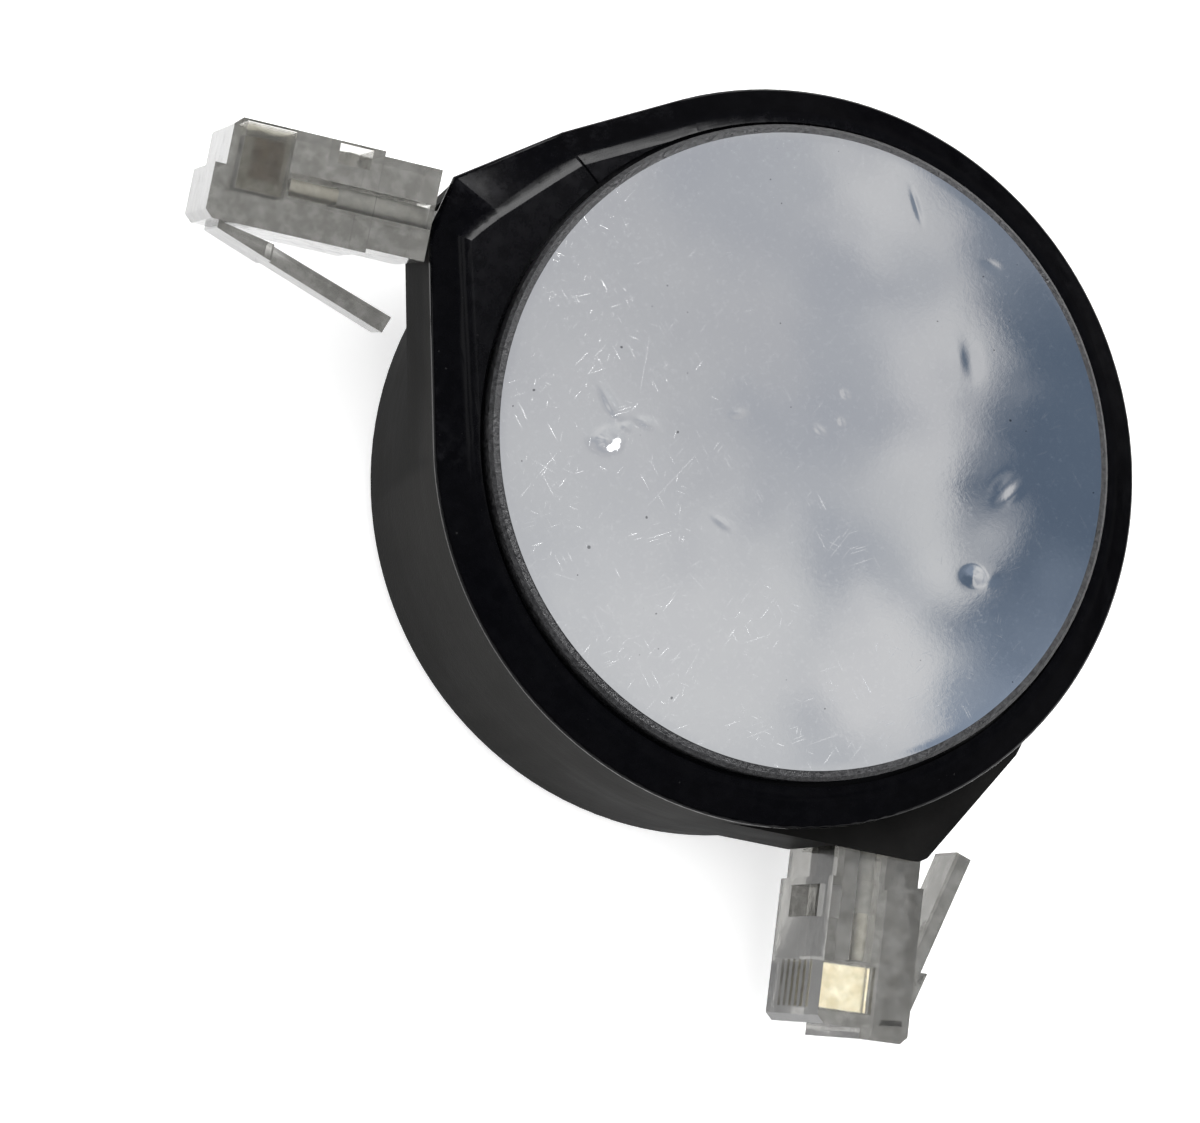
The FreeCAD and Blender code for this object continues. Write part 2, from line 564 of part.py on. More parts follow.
def write_parts():
    doc.recompute()
    for item in doc.Objects:
        if "Invalid" in item.State or "Error" in item.State:
            raise RuntimeError("%s is %s" % (item.Label, item.State))
    os.makedirs("parts", exist_ok=True)
    for piece in pieces:
        if piece.Shape.isNull() or not piece.Shape.isValid():
            raise RuntimeError("%s has no valid shape" % piece.Label)
    for piece in pieces:
        piece.Shape.exportStep("parts/%s.step" % piece.Label)
        print("%-18s solids %d volume %.1f" % (piece.Label, len(piece.Shape.Solids), piece.Shape.Volume))


case_body()
top_cover()
top_plate()
top_label()
centre_screw()
spool()
spring_lid()
lock_ball()
spiral_spring()
winding("upper_winding", "a")
winding("lower_winding", "b")
for which in "ab":
    plug_body(which)
    plug_contacts(which)
    plug_wires(which)
    plug_latch(which)
    plug_cord(which)
write_parts()
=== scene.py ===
"""The look of a retractable telephone cord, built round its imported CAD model.

Metres, in the CAD frame: +Z up the reel's axis, the origin at the centre of its base.
Sizes that are easier to read in millimetres are written with MM.
"""
import json
import math

import bmesh
import bpy
from mathutils import Matrix, Vector


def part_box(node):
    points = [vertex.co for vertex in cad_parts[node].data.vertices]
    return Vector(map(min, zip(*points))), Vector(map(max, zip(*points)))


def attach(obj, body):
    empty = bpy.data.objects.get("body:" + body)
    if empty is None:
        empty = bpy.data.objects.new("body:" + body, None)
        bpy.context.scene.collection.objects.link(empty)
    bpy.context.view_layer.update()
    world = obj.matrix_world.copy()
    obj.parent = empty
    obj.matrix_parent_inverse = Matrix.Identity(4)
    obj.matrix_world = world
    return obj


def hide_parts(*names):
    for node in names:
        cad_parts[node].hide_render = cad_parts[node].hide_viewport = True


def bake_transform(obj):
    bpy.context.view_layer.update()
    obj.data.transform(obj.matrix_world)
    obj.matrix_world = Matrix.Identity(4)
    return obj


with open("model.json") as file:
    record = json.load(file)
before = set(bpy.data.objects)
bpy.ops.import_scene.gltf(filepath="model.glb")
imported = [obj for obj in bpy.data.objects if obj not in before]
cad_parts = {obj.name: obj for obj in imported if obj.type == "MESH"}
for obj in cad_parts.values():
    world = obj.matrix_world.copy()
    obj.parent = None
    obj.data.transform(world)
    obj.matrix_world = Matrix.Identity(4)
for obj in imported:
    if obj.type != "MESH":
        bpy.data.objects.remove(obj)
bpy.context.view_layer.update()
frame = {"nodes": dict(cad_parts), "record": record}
nodes = frame["nodes"]
MM = 0.001

# the two plugs, as in the source: the pull's direction and the plug's roll in degrees, then the place
# of its rear along the pull, its sideways place and its height in mm
PLUGS = {"a": (221.6, -11.5, 27.0, -10.9, 16.025), "b": (312.9, 0.0, 23.0, 11.0, 10.675)}

# the photograph's camera: its frame, its focal length in pixels and where it stands
IMAGE_WIDTH = 1200
FOCAL_PIXELS = 3000
SENSOR_WIDTH = 36.0
CAMERA_PLACE = Vector((-0.021037, -0.076497, 0.202702))
CAMERA_RIGHT = Vector((0.60564, 0.73470, 0.30562))
CAMERA_FORWARD = Vector((0.09450, 0.31494, -0.94439))


def add_camera():
    up = CAMERA_RIGHT.cross(CAMERA_FORWARD)
    data = bpy.data.cameras.new("camera")
    data.sensor_fit = "HORIZONTAL"
    data.sensor_width = SENSOR_WIDTH
    data.lens = SENSOR_WIDTH * FOCAL_PIXELS / IMAGE_WIDTH
    data.clip_start = 0.01
    camera = bpy.data.objects.new("camera", data)
    turn = Matrix((CAMERA_RIGHT, up, -CAMERA_FORWARD)).transposed()
    camera.matrix_world = Matrix.Translation(CAMERA_PLACE) @ turn.to_4x4()
    bpy.context.collection.objects.link(camera)
    bpy.context.scene.camera = camera


class Nodes:
    """A material's or world's node tree, with short calls for the nodes that are used here."""

    def __init__(self, owner):
        owner.use_nodes = True
        self.tree = owner.node_tree
        self.tree.nodes.clear()

    def add(self, kind, settings=None, **inputs):
        """A node with its settings, and inputs that are values or other nodes' outputs."""
        node = self.tree.nodes.new("ShaderNode" + kind)
        for name, value in (settings or {}).items():
            setattr(node, name, value)
        for name, value in inputs.items():
            self.feed(node, name, value)
        return node

    def feed(self, node, name, value):
        """Set or link an input, which goes by its name or, as n0, n1 and so on, by its number."""
        by_number = name[0] == "n" and name[1:].isdigit()
        socket = node.inputs[int(name[1:]) if by_number else name]
        if isinstance(value, bpy.types.NodeSocket):
            self.tree.links.new(value, socket)
        else:
            socket.default_value = value

    def math(self, operation, first, second=0.0):
        return self.add("Math", {"operation": operation}, n0=first, n1=second).outputs[0]

    def vector(self, operation, first, second):
        node = self.add("VectorMath", {"operation": operation}, n0=first, n1=second)
        return node.outputs[1 if operation in ("DISTANCE", "DOT_PRODUCT") else 0]

    def span(self, value, low, high, to_low=0.0, to_high=1.0):
        """value from low..high to to_low..to_high, smoothly and held at both ends."""
        node = self.add("MapRange", {"interpolation_type": "SMOOTHSTEP"}, Value=value)
        ends = {"From Min": low, "From Max": high, "To Min": to_low, "To Max": to_high}
        for name, number in ends.items():
            node.inputs[name].default_value = number
        return node.outputs[0]

    def blend(self, factor, first, second):
        """A colour between two."""
        node = self.add("Mix", {"data_type": "RGBA"})
        self.feed(node, "n0", factor)
        self.feed(node, "n6", first)
        self.feed(node, "n7", second)
        return node.outputs[2]

    def place(self, scale=(1, 1, 1), shift=(0, 0, 0)):
        """Object coordinates in metres, scaled and then shifted."""
        where = self.add("TexCoord").outputs["Object"]
        node = self.add("Mapping", Vector=where)
        node.inputs["Scale"].default_value = scale
        node.inputs["Location"].default_value = shift
        return node.outputs[0]

    def noise(self, where, scale, detail=4.0, rough=0.5):
        node = self.add("TexNoise", Vector=where, Scale=scale, Detail=detail, Roughness=rough)
        return node.outputs["Fac"]

    def bump(self, height, distance, strength):
        return self.add("Bump", Height=height, Distance=distance, Strength=strength).outputs[0]

    def surface(self, **inputs):
        """The finished surface: a principled shader, with names such as Base_Color for its inputs."""
        shader = self.add("BsdfPrincipled")
        for name, value in inputs.items():
            self.feed(shader, name.replace("_", " "), value)
        self.add("OutputMaterial", Surface=shader.outputs[0])


def new_material(name):
    material = bpy.data.materials.new(name)
    return material, Nodes(material)


def case_plastic():
    """Matt black, with faint streaks that run round the wall and a fine moulded grain."""
    material, tree = new_material("case_plastic")
    streaks = tree.noise(tree.place(scale=(40, 40, 1100)), 1.0, 3.0)
    cloud = tree.noise(tree.place(), 110.0, 4.0, 0.6)
    grain = tree.noise(tree.place(), 5200.0, 2.0)
    tone = tree.math("ADD", tree.math("MULTIPLY", streaks, 0.3), tree.math("MULTIPLY", cloud, 0.7))
    colour = tree.blend(tree.span(tone, 0.3, 0.7), (0.005, 0.005, 0.005, 1), (0.012, 0.0118, 0.0114, 1))
    wear = tree.span(tree.add("NewGeometry").outputs["Pointiness"], 0.53, 0.6)
    colour = tree.blend(tree.math("MULTIPLY", wear, 0.4), colour, (0.04, 0.039, 0.037, 1))
    tree.surface(Base_Color=colour, Roughness=tree.span(tone, 0.3, 0.7, 0.40, 0.52),
                 Specular_IOR_Level=0.008, Normal=tree.bump(grain, 0.03 * MM, 0.4))
    return material


def cover_plastic():
    """Glossy black, slightly wavy as a moulding is, with fine rub marks and a few grains of dust."""
    material, tree = new_material("cover_plastic")
    wave = tree.noise(tree.place(), 260.0, 2.0)
    scuff = tree.noise(tree.place(), 900.0, 6.0, 0.7)
    dust = tree.noise(tree.place(), 2600.0, 1.0)
    edge = tree.span(tree.add("NewGeometry").outputs["Pointiness"], 0.52, 0.6)
    wear_and_painted_shade = tree.math("MULTIPLY", edge, tree.span(scuff, 0.45, 0.7))
    colour = tree.blend(tree.span(scuff, 0.35, 0.75),
                        (0.0010, 0.0010, 0.0015, 1), (0.0022, 0.0022, 0.0030, 1))
    colour = tree.blend(tree.math("MULTIPLY", wear_and_painted_shade, 0.3), colour, (0.02, 0.02, 0.023, 1))
    speck = tree.math("MULTIPLY", tree.span(dust, 0.79, 0.83), 0.3)
    colour = tree.blend(speck, colour, (0.05, 0.05, 0.05, 1))
    tree.surface(Base_Color=colour, Roughness=tree.span(scuff, 0.35, 0.75, 0.13, 0.17),
                 Specular_IOR_Level=0.055, Normal=tree.bump(wave, 0.05 * MM, 0.3))
    return material


def plate_plastic():
    """Black with a coarse spark-eroded grain."""
    material, tree = new_material("plate_plastic")
    grain = tree.noise(tree.place(), 3400.0, 3.0, 0.6)
    colour = tree.blend(tree.span(grain, 0.35, 0.7), (0.008, 0.008, 0.009, 1), (0.034, 0.034, 0.036, 1))
    tree.surface(Base_Color=colour, Roughness=tree.span(grain, 0.3, 0.7, 0.38, 0.55),
                 Specular_IOR_Level=0.4, Normal=tree.bump(grain, 0.12 * MM, 0.8))
    return material


def scratches(tree, turn, stretch, scale, low):
    """Fine straight scratches in one direction: noise drawn out along it, cut to thin lines."""
    where = tree.add("TexCoord").outputs["Object"]
    turned = tree.add("VectorRotate", {"rotation_type": "Z_AXIS"}, Vector=where, Angle=turn).outputs[0]
    line = tree.noise(tree.vector("MULTIPLY", turned, (scale, scale / stretch, scale)), 1.0, 0.0)
    patch = tree.noise(tree.place(shift=(turn, turn, 0)), 260.0, 2.0)
    return tree.math("MULTIPLY", tree.span(line, low, low + 0.05), tree.span(patch, 0.44, 0.66))


# families of fine scratches in the foil: direction in radians, how drawn out, how fine,
# and the noise level from which they show
SCRATCHES = [
    (0.35, 20.0, 9500.0, 0.750), (1.05, 12.0, 11000.0, 0.760), (1.75, 24.0, 10000.0, 0.750),
    (2.45, 10.0, 10500.0, 0.760), (2.95, 16.0, 9000.0, 0.755),
]
# the scratches grow stronger from the first of these places on y to the second
SCRATCH_FROM, SCRATCH_TO = 10 * MM, -14 * MM
# half the width of a single long scratch, at its foot and at its crest, and how strong it is
HAIRLINE_FOOT, HAIRLINE_CREST = 0.05 * MM, 0.015 * MM
HAIRLINE_AMOUNT = 0.3
# single long scratches in the foil: first and last point, in mm
HAIRLINES = [
    ((-4.5, -5.8), (-3.7, -12.2)), ((-10.9, -15.8), (-9.0, -15.0)), ((1.1, -12.0), (2.9, -11.8)),
    ((1.0, -11.7), (1.1, -10.8)), ((-4.5, -19.4), (-2.8, -18.2)), ((2.3, -17.8), (3.1, -17.5)),
    ((-1.0, -18.3), (0.2, -17.9)), ((-12.5, -4.0), (-9.5, -7.5)), ((5.5, -14.5), (6.3, -16.8)),
]


def hairline(tree, first, last):
    """1 on a thin straight line between two points, fading towards its ends."""
    first, last = Vector(first) * MM, Vector(last) * MM
    middle, run = (first + last) / 2, last - first
    half, way = run.length / 2, run.normalized()
    away = tree.vector("SUBTRACT", tree.place(), (middle.x, middle.y, 0))
    along = tree.math("ABSOLUTE", tree.vector("DOT_PRODUCT", away, (way.x, way.y, 0)))
    aside = tree.math("ABSOLUTE", tree.vector("DOT_PRODUCT", away, (-way.y, way.x, 0)))
    narrow = tree.span(aside, HAIRLINE_FOOT, HAIRLINE_CREST)
    return tree.math("MULTIPLY", narrow, tree.span(along, half, half * 0.5))


def label_foil():
    """Bright foil: a slightly hazy mirror with hairline scratches, rubbed patches and pin pricks."""
    material, tree = new_material("label_foil")
    lines = None
    for row in SCRATCHES:
        more = scratches(tree, *row)
        lines = more if lines is None else tree.math("MAXIMUM", lines, more)
    rub = tree.noise(tree.place(), 2600.0, 4.0, 0.7)
    haze = tree.noise(tree.place(), 120.0, 4.0, 0.6)
    prick = tree.span(tree.noise(tree.place(shift=(3, 1, 0)), 2300.0, 0.0), 0.865, 0.89)
    colour = tree.blend(tree.span(haze, 0.3, 0.7), (0.84, 0.84, 0.85, 1), (0.88, 0.88, 0.88, 1))
    colour = tree.blend(tree.span(rub, 0.5, 0.75, 0.0, 0.6), colour, (0.95, 0.95, 0.95, 1))
    corner = tree.add("SeparateXYZ", Vector=tree.place()).outputs[1]
    lines = tree.math("MULTIPLY", lines, tree.span(corner, SCRATCH_FROM, SCRATCH_TO, 0.14, 0.58))
    for first, last in HAIRLINES:
        single = tree.math("MULTIPLY", hairline(tree, first, last), HAIRLINE_AMOUNT)
        lines = tree.math("MAXIMUM", lines, single)
    colour = tree.blend(lines, colour, (0.97, 0.97, 0.97, 1))
    colour = tree.blend(tree.math("MULTIPLY", prick, 0.8), colour, (0.22, 0.22, 0.23, 1))
    rough = tree.math("ADD", tree.span(haze, 0.3, 0.7, 0.02, 0.045), tree.math("MULTIPLY", lines, 0.25))
    rough = tree.math("ADD", rough, tree.span(rub, 0.55, 0.8, 0.0, 0.06))
    tree.surface(Base_Color=colour, Metallic=tree.span(lines, 0.0, 1.0, 1.0, 0.72), Roughness=rough,
                 Normal=tree.bump(rub, 0.003 * MM, 0.25))
    return material


def clear_plastic():
    """Clear moulded plastic with a wavy surface and scuffs.

    Its side faces are greyed with painted shade, and the face that lies downwards, low on the plug, is
    darkened further with painted shade.
    """
    material, tree = new_material("clear_plastic")
    wave = tree.noise(tree.place(), 420.0, 3.0)
    scuff = tree.noise(tree.place(), 1100.0, 5.0, 0.65)
    face = tree.add("NewGeometry").outputs
    outward = tree.math("SUBTRACT", 1.0, tree.math("MULTIPLY", face["Backfacing"], 2.0))
    upward = tree.add("SeparateXYZ", Vector=face["True Normal"]).outputs[2]
    facing = tree.span(tree.math("MULTIPLY", upward, outward), -0.5, -0.8)
    aside = tree.span(tree.math("ABSOLUTE", upward), 0.75, 0.5)
    height = tree.add("SeparateXYZ", Vector=tree.add("TexCoord").outputs["Generated"]).outputs[2]
    # painted shade: the faces that lie downwards, low on the plug, are darkened
    underside_shade_mask = tree.math("MULTIPLY", facing, tree.span(height, 0.26, 0.2))
    colour = tree.blend(tree.span(scuff, 0.35, 0.7), (0.80, 0.79, 0.75, 1), (0.93, 0.925, 0.90, 1))
    # painted shade colours: a dark one for the downward faces and a grey one for the side faces
    underside_painted_shade = tree.blend(tree.span(scuff, 0.4, 0.65), (0.018, 0.0175, 0.0155, 1), (0.040, 0.039, 0.036, 1))
    wear_and_painted_shade = tree.blend(tree.span(scuff, 0.4, 0.65), (0.15, 0.147, 0.136, 1), (0.25, 0.247, 0.234, 1))
    colour = tree.blend(underside_shade_mask, tree.blend(aside, colour, wear_and_painted_shade), underside_painted_shade)
    tree.surface(Base_Color=colour, Roughness=tree.span(scuff, 0.35, 0.75, 0.04, 0.20),
                 IOR=1.49, Specular_IOR_Level=0.25, Transmission_Weight=1.0,
                 Normal=tree.bump(wave, 0.06 * MM, 0.5))
    return material


# plug A's blades: the pull's direction, and the reach along it and across it of the brown patch of
# painted shade
BLADE_TURN = math.radians(PLUGS["a"][0])
BROWN_ALONG = (36.9 * MM, 38.9 * MM)
BROWN_ACROSS = -10.4 * MM
BROWN_EDGE = 0.2 * MM
# plug A lies below minus this on x, and plug B above it
BETWEEN_PLUGS = 0.01


def gold_contact():
    """Gold-plated blades: bright on plug B, and on plug A darkened with painted shade, brown in a patch
    and dull grey round it.
    """
    material, tree = new_material("gold_contact")
    stain = tree.noise(tree.place(), 900.0, 4.0, 0.6)
    side = tree.add("SeparateXYZ", Vector=tree.place()).outputs[0]
    bright = tree.blend(tree.span(stain, 0.3, 0.7), (0.96, 0.86, 0.62, 1), (1.0, 0.96, 0.82, 1))
    # painted shade: plug A's gold is given a dark brown, with a dull grey round it, in place of its gold
    # colour
    brown = tree.blend(tree.span(stain, 0.3, 0.7), (0.055, 0.035, 0.017, 1), (0.105, 0.072, 0.040, 1))
    along = tree.vector("DOT_PRODUCT", tree.place(), (math.cos(BLADE_TURN), math.sin(BLADE_TURN), 0))
    across = tree.vector("DOT_PRODUCT", tree.place(), (-math.sin(BLADE_TURN), math.cos(BLADE_TURN), 0))
    back, front = BROWN_ALONG
    dull = tree.math("MAXIMUM", tree.span(along, back + BROWN_EDGE, back - BROWN_EDGE),
                     tree.span(along, front - BROWN_EDGE, front + BROWN_EDGE))
    inner = tree.span(across, BROWN_ACROSS - BROWN_EDGE, BROWN_ACROSS + BROWN_EDGE)
    dull = tree.math("MAXIMUM", dull, inner)
    brown = tree.blend(dull, brown, (0.20, 0.195, 0.18, 1))
    colour = tree.blend(tree.span(side, -BETWEEN_PLUGS, BETWEEN_PLUGS), brown, bright)
    tree.surface(Base_Color=colour, Metallic=1.0, Roughness=tree.span(stain, 0.3, 0.7, 0.26, 0.15),
                 Normal=tree.bump(stain, 0.006 * MM, 0.3))
    return material


def sheath(name, dark, light, rough):
    """Soft insulation with a drawn surface."""
    material, tree = new_material(name)
    drawn = tree.noise(tree.place(), 1200.0, 3.0)
    colour = tree.blend(tree.span(drawn, 0.3, 0.7), dark, light)
    tree.surface(Base_Color=colour, Roughness=tree.span(drawn, 0.3, 0.7, rough - 0.08, rough + 0.08),
                 Normal=tree.bump(drawn, 0.02 * MM, 0.4))
    return material


def inner_metal(name, dark, light, stretch):
    """Rolled or brushed steel, drawn out round the axis or along it."""
    material, tree = new_material(name)
    brushed = tree.noise(tree.place(scale=(stretch, stretch, 3000)), 1.0, 3.0)
    colour = tree.blend(tree.span(brushed, 0.3, 0.7), dark, light)
    tree.surface(Base_Color=colour, Metallic=1.0, Roughness=tree.span(brushed, 0.3, 0.7, 0.22, 0.42),
                 Normal=tree.bump(brushed, 0.01 * MM, 0.3))
    return material


def make_materials():
    """One material for each slot of the record."""
    return {
        "case_plastic": case_plastic(),
        "cover_plastic": cover_plastic(),
        "plate_plastic": plate_plastic(),
        "label_foil": label_foil(),
        "clear_plastic": clear_plastic(),
        "gold_contact": gold_contact(),
        "steel": inner_metal("steel", (0.42, 0.42, 0.44, 1), (0.68, 0.68, 0.70, 1), 900),
        "spring_steel": inner_metal("spring_steel", (0.22, 0.24, 0.29, 1), (0.42, 0.44, 0.50, 1), 60),
        "spool_plastic": sheath("spool_plastic", (0.60, 0.59, 0.55, 1), (0.74, 0.73, 0.69, 1), 0.45),
        "cord_sheath": sheath("cord_sheath", (0.46, 0.46, 0.455, 1), (0.60, 0.60, 0.59, 1), 0.42),
        "wire_sheath": sheath("wire_sheath", (0.60, 0.58, 0.52, 1), (0.78, 0.76, 0.70, 1), 0.4),
    }


def dress_nodes(materials):
    """Put each slot's material on the CAD nodes that take it."""
    for part in frame["record"]["subparts"]:
        piece = nodes[part["node"]]
        piece.data.materials.clear()
        piece.data.materials.append(materials[part["material_slot"]])


# edges that turn by more than this stay sharp
SHARP_ANGLE = math.radians(35)


def new_object(name, shape, material):
    """An object from a bmesh, which is used up."""
    mesh = bpy.data.meshes.new(name)
    shape.to_mesh(mesh)
    shape.free()
    mesh.materials.append(material)
    made = bpy.data.objects.new(name, mesh)
    bpy.context.collection.objects.link(made)
    return made


def finish_piece(name, shape, material):
    """A piece of the part from a bmesh, smooth except at sharp edges."""
    piece = new_object(name, shape, material)
    for face in piece.data.polygons:
        face.use_smooth = True
    piece.data.set_sharp_from_angle(angle=SHARP_ANGLE)
    return piece


# dents in the foil: place, depth, how long and how wide, all in mm, and the long side's direction
# in degrees. A raised place has a negative depth
DENTS = [
    (-8.60, -10.80, 0.066, 0.50, 0.45, 50), (-9.10, -11.50, 0.018, 0.50, 0.45, 50),
    (-10.48, -9.24, 0.026, 0.70, 0.22, -10), (-9.30, -9.55, -0.018, 0.45, 0.24, 20),
    (-8.66, -9.34, 0.020, 0.30, 0.20, 33), (-8.10, -8.10, 0.018, 0.45, 0.20, 33),
    (13.57, 3.74, 0.034, 0.42, 0.36, 50), (14.30, 4.70, -0.005, 0.50, 0.35, 50),
    (2.43, 13.10, 0.006, 0.90, 0.45, -31), (1.55, 12.55, -0.003, 0.80, 0.40, -31),
    (10.34, 9.38, 0.007, 0.85, 0.40, 96), (11.16, 9.74, -0.004, 0.65, 0.30, 92),
    (-8.04, 16.74, 0.006, 0.70, 0.14, -23), (-1.71, 18.63, 0.004, 0.42, 0.20, 35),
    (0.08, -8.08, 0.010, 0.42, 0.16, 17), (-1.29, 4.34, 0.008, 0.26, 0.18, -2),
    (-0.52, 1.29, 0.008, 0.34, 0.17, 12), (0.02, 2.91, 0.007, 0.20, 0.16, 9),
    (-4.75, -2.60, 0.008, 0.30, 0.18, 60),
]
LABEL_RADIUS = 21.15 * MM
LABEL_RINGS, LABEL_SEGMENTS = 70, 240
# a dent's mesh is divided by this many cuts, out to this many times its size and a margin in mm
DENT_CUTS = 4
DENT_REACH, DENT_MARGIN = 2.5, 0.3
# the width and height of the rim that bends down, and how far the flat lies below the CAD label's top
LABEL_EDGE = 0.3 * MM
LABEL_EDGE_FALL = 0.003 * MM
LABEL_SINK = 0.012 * MM
# points this near to the label's radius are on its brink
BRINK_WIDTH = 0.003 * MM


def dent_depth(x, y):
    """How far the foil lies below its flat at a point, in metres."""
    depth = 0.0
    for dent_x, dent_y, deep, long, wide, angle in DENTS:
        turn = math.radians(angle)
        across, up = x / MM - dent_x, y / MM - dent_y
        along = (across * math.cos(turn) + up * math.sin(turn)) / long
        aside = (up * math.cos(turn) - across * math.sin(turn)) / wide
        depth += deep * MM * math.exp(-0.5 * (along * along + aside * aside))
    return depth


def near_dent(point):
    """True within reach of a dent, where the foil needs a finer mesh."""
    for dent_x, dent_y, _, long, wide, _ in DENTS:
        away = math.hypot(point.x / MM - dent_x, point.y / MM - dent_y)
        if away < DENT_REACH * max(long, wide) + DENT_MARGIN:
            return True
    return False


def foil_label(material):
    """The foil disc, dented, with its edge bent down towards the plate."""
    low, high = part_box("top_label")
    radius, top, bottom = high[0], high[2], low[2]
    shape = bmesh.new()

    def ring(distance, height):
        made = []
        for k in range(LABEL_SEGMENTS):
            turn = 2 * math.pi * k / LABEL_SEGMENTS
            made.append(shape.verts.new((distance * math.cos(turn), distance * math.sin(turn), height)))
        return made

    def face_height(x, y):
        near_edge = max(0.0, 1.0 - (radius - math.hypot(x, y)) / LABEL_EDGE)
        return top - dent_depth(x, y) - LABEL_EDGE_FALL * near_edge ** 2 - LABEL_SINK

    rings = [ring(radius * (k + 1) / LABEL_RINGS, top) for k in range(LABEL_RINGS)]
    middle = shape.verts.new((0, 0, top))
    for k in range(LABEL_SEGMENTS):
        after = (k + 1) % LABEL_SEGMENTS
        shape.faces.new((middle, rings[0][k], rings[0][after]))
        for inner, outer in zip(rings, rings[1:]):
            shape.faces.new((inner[k], outer[k], outer[after], inner[after]))
    fine = [edge for edge in shape.edges if near_dent((edge.verts[0].co + edge.verts[1].co) / 2)]
    bmesh.ops.subdivide_edges(shape, edges=fine, cuts=DENT_CUTS, use_grid_fill=True)
    for vert in shape.verts:
        vert.co.z = face_height(vert.co.x, vert.co.y)
    brink = [vert for vert in shape.verts if vert.co.xy.length > radius - BRINK_WIDTH]
    brink.sort(key=lambda vert: math.atan2(vert.co.y, vert.co.x))
    rim = [shape.verts.new((vert.co.x, vert.co.y, bottom)) for vert in brink]
    under = shape.verts.new((0, 0, bottom))
    for k in range(len(rim)):
        shape.faces.new((brink[k - 1], rim[k - 1], rim[k], brink[k]))
        shape.faces.new((under, rim[k], rim[k - 1]))
    label = finish_piece("foil_label", shape, material)
    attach(label, "case")
    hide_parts("top_label")


# the cord, in mm: where it starts, its reach into the plug, its section, and the depth of its grooves
CORD_START = 17.8
CORD_IN_PLUG = 6.0
CORD_WIDTH, CORD_THICK, CORD_ROUND = 3.75, 1.2, 0.5
CORD_GROOVE = 0.05
CONDUCTORS = 4
# how many rows the cord has along its run, and how many steps round each side of its section
CORD_STEPS = 36
SECTION_STEPS = 32


def cord_section():
    """Points round the flat cord, in mm: across its thickness, then up its width.

    A shallow groove runs between each two of its conductors.
    """
    points = []
    for side in (1, -1):
        for k in range(SECTION_STEPS + 1):
            up = side * CORD_WIDTH * (k / SECTION_STEPS - 0.5)
            inset = max(0.0, abs(up) - CORD_WIDTH / 2 + CORD_ROUND)
            half = CORD_THICK / 2 - CORD_ROUND + math.sqrt(max(0.0, CORD_ROUND ** 2 - inset ** 2))
            groove = CORD_GROOVE * 0.5 * (1 + math.cos(2 * math.pi * up / (CORD_WIDTH / CONDUCTORS)))
            points.append((side * (half - groove * (inset == 0)), up))
    return points


def cord_run(plug, material):
    """The flat cord between the case and a plug, which lengthens as the plug is pulled away."""
    angle, roll, rear, offset, height = PLUGS[plug]
    turn = Matrix.Rotation(math.radians(angle), 4, "Z")
    tilt = Matrix.Rotation(math.radians(roll), 4, "X")

    def spot(along, across=0.0, up=0.0):
        local = tilt @ Vector((0, across, up)) + Vector((along, offset, height))
        return turn @ local * MM

    shape = bmesh.new()
    section = cord_section()
    rows = []
    for k in range(CORD_STEPS + 1):
        along = CORD_START + (rear + CORD_IN_PLUG - CORD_START) * k / CORD_STEPS
        rows.append([shape.verts.new(spot(along, *point)) for point in section])
    for first, second in zip(rows, rows[1:]):
        for k in range(len(section)):
            after = (k + 1) % len(section)
            shape.faces.new((first[k], first[after], second[after], second[k]))
    shape.faces.new(list(reversed(rows[0])))
    shape.faces.new(rows[-1])
    bmesh.ops.recalc_face_normals(shape, faces=shape.faces)
    run = finish_piece("cord_run_" + plug, shape, material)
    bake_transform(run)
    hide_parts("plug_%s_cord" % plug)


# the studio, in metres: the floor and how far it lies under the part, the sky panel, the walls
# round the stage, and the card that clear plastic shows
FLOOR_RADIUS, FLOOR_DROP = 1.5, 0.05 * MM
PANEL_RADIUS, PANEL_HEIGHT = 2.5, 1.0
FAR_WALL_RADIUS = 2.4
NEAR_WALL_RADIUS, NEAR_WALL_HEIGHT = 0.3, 0.06
GLINT_RADIUS = 0.2
GLINT_PLACE = (0.325, 0.318)
CARD_SEGMENTS, WALL_SEGMENTS = 64, 96
# light from all round on the part, and the rest that makes the world white where it is seen directly
WORLD_LIGHT, WORLD_SEEN = 0.42, 0.58
# what the floor adds to its lit paint to look white
FLOOR_GLOW = 0.62
# soft lights: name, place, width and power in watts
LAMPS = [("overhead", (0.10, 0.25, 0.80), 0.9, 9.0), ("left", (-0.70, -0.25, 0.55), 0.6, 3.0)]


def plane(name, radius, height, material):
    """A flat round card that faces up or down."""
    shape = bmesh.new()
    bmesh.ops.create_circle(shape, cap_ends=True, segments=CARD_SEGMENTS, radius=radius)
    card = new_object(name, shape, material)
    card.location.z = height
    return card


def seen_directly(tree):
    """1 for a ray from the camera, or one that a mirror or a clear piece passes on."""
    path = tree.add("LightPath").outputs
    either = tree.math("MAXIMUM", path["Is Camera Ray"], path["Is Glossy Ray"])
    return tree.math("MAXIMUM", either, path["Is Transmission Ray"])


def floor_material():
    """White to the eye, with the object's soft shadow left on it."""
    material, tree = new_material("floor")
    mottle = tree.noise(tree.place(), 30.0, 2.0)
    colour = tree.blend(mottle, (0.76, 0.76, 0.76, 1), (0.80, 0.80, 0.80, 1))
    paint = tree.add("BsdfDiffuse", Color=colour)
    glow = tree.add("Emission", Strength=tree.math("MULTIPLY", seen_directly(tree), FLOOR_GLOW))
    both = tree.add("AddShader", n0=paint.outputs[0], n1=glow.outputs[0])
    tree.add("OutputMaterial", Surface=both.outputs[0])
    return material


